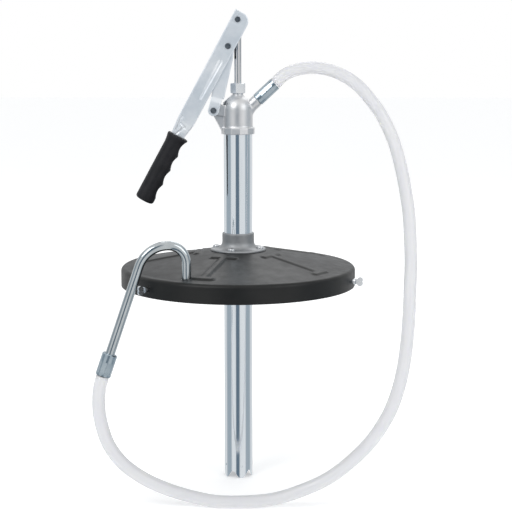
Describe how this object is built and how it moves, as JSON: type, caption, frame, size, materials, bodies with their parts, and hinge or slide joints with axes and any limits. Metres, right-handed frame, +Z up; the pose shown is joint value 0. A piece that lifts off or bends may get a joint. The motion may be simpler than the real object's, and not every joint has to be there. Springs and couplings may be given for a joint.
{
  "type": "pail fluid transfer pump",
  "caption": "Lever hand pump on a pressed pail cover, with a long suction tube, a folding link and handle, a clear delivery hose and a hooked nozzle parked in the cover.",
  "frame": {"origin": "on the pump's axis, at the underside of the cover's edge, where it sits on the pail's rim", "axes": "+Z up along the pump tube, +X towards the hose outlet, -X towards the handle, -Y towards the side with the nozzle"},
  "size_m": [0.4164, 0.3255, 0.6334],
  "materials": {
    "black_paint": "semi-gloss black enamel on pressed steel",
    "cast_collar": "grey die-cast, as cast",
    "screw_steel": "bright zinc-plated pan heads",
    "plain_steel": "plain steel",
    "zinc_bright": "bright zinc plate",
    "galvanised_tube": "electro-galvanised steel tube, semi-bright",
    "die_cast": "die-cast alloy, satin",
    "black_rubber": "black nitrile rubber",
    "bright_ferrule": "bright crimped aluminium",
    "clear_hose": "clear flexible vinyl",
    "nozzle_plated": "bright plated steel tube",
    "ball_steel": "polished steel ball",
    "rod_chrome": "ground and plated rod",
    "link_zinc": "zinc-plated pressed steel",
    "handle_zinc": "zinc-plated pressed steel, faint rolling marks",
    "grip_rubber": "moulded black rubber, satin"
  },
  "bodies": {
    "pump_base": {"pail_cover": "black_paint", "cover_collar": "cast_collar", "collar_screws": "screw_steel", "collar_nuts": "plain_steel", "rim_nuts": "plain_steel", "pump_tube": "galvanised_tube", "pump_head": "die_cast", "head_gasket": "black_rubber", "packing_rings": "black_rubber", "packing_nut": "zinc_bright", "outlet_spigot": "plain_steel", "outlet_ferrule": "bright_ferrule", "delivery_hose": "clear_hose", "foot_valve_seat": "plain_steel", "foot_valve_cage": "plain_steel", "lug_pin": "zinc_bright", "lug_pin_clip": "plain_steel"},
    "rod": {"piston_rod": "rod_chrome", "valve_stop_ring": "plain_steel", "piston_body": "die_cast", "piston_cup": "black_rubber", "piston_washer": "plain_steel", "piston_nut": "plain_steel"},
    "piston_valve": {"piston_valve_disc": "plain_steel"},
    "foot_ball": {"foot_valve_ball": "ball_steel"},
    "link": {"swing_link": "link_zinc"},
    "handle": {"fulcrum_pin": "zinc_bright", "rod_pin_studs": "zinc_bright", "handle_channel": "handle_zinc", "handle_grip": "grip_rubber"},
    "nozzle": {"nozzle_tube": "nozzle_plated", "nozzle_ferrule": "bright_ferrule"},
    "screw_right": {"thumb_screw_right": "zinc_bright"},
    "screw_left": {"thumb_screw_left": "zinc_bright"},
    "screw_rear": {"thumb_screw_rear": "zinc_bright"}
  },
  "joints": [
    {"name": "link_swing", "type": "hinge", "parent": "pump_base", "child": "link", "pos_m": [-0.0321, 0, 0.2096], "axis": [0, 1, 0], "range_deg": [-14.44, 0]},
    {"name": "handle_pivot", "type": "hinge", "parent": "link", "child": "handle", "pos_m": [-0.0128, 0, 0.2938], "axis": [0, 1, 0], "range_deg": [0, 104.44]},
    {"name": "rod_slide", "type": "slide", "parent": "pump_base", "child": "rod", "axis": [0, 0, -1], "range_m": [0, 0.04505]},
    {"name": "piston_valve_lift", "type": "slide", "parent": "rod", "child": "piston_valve", "axis": [0, 0, 1], "range_m": [0, 0.005]},
    {"name": "foot_ball_lift", "type": "slide", "parent": "pump_base", "child": "foot_ball", "axis": [0, 0, 1], "range_m": [0, 0.006]},
    {"name": "nozzle_lift", "type": "slide", "parent": "pump_base", "child": "nozzle", "axis": [0, 0, 1], "range_m": [0, 0.03]},
    {"name": "screw_right_travel", "type": "slide", "parent": "pump_base", "child": "screw_right", "axis": [0.9563, -0.2924, 0], "range_m": [-0.002, 0.006]},
    {"name": "screw_left_travel", "type": "slide", "parent": "pump_base", "child": "screw_left", "axis": [-0.7314, -0.682, 0], "range_m": [-0.002, 0.006]},
    {"name": "screw_rear_travel", "type": "slide", "parent": "pump_base", "child": "screw_rear", "axis": [-0.225, 0.9744, 0], "range_m": [-0.002, 0.006]}
  ],
  "couplings": [
    {"joint": "link_swing", "follows": "handle_pivot", "ratio": -0.13823},
    {"joint": "rod_slide", "follows": "handle_pivot", "m_per_rad": 0.024714}
  ]
}
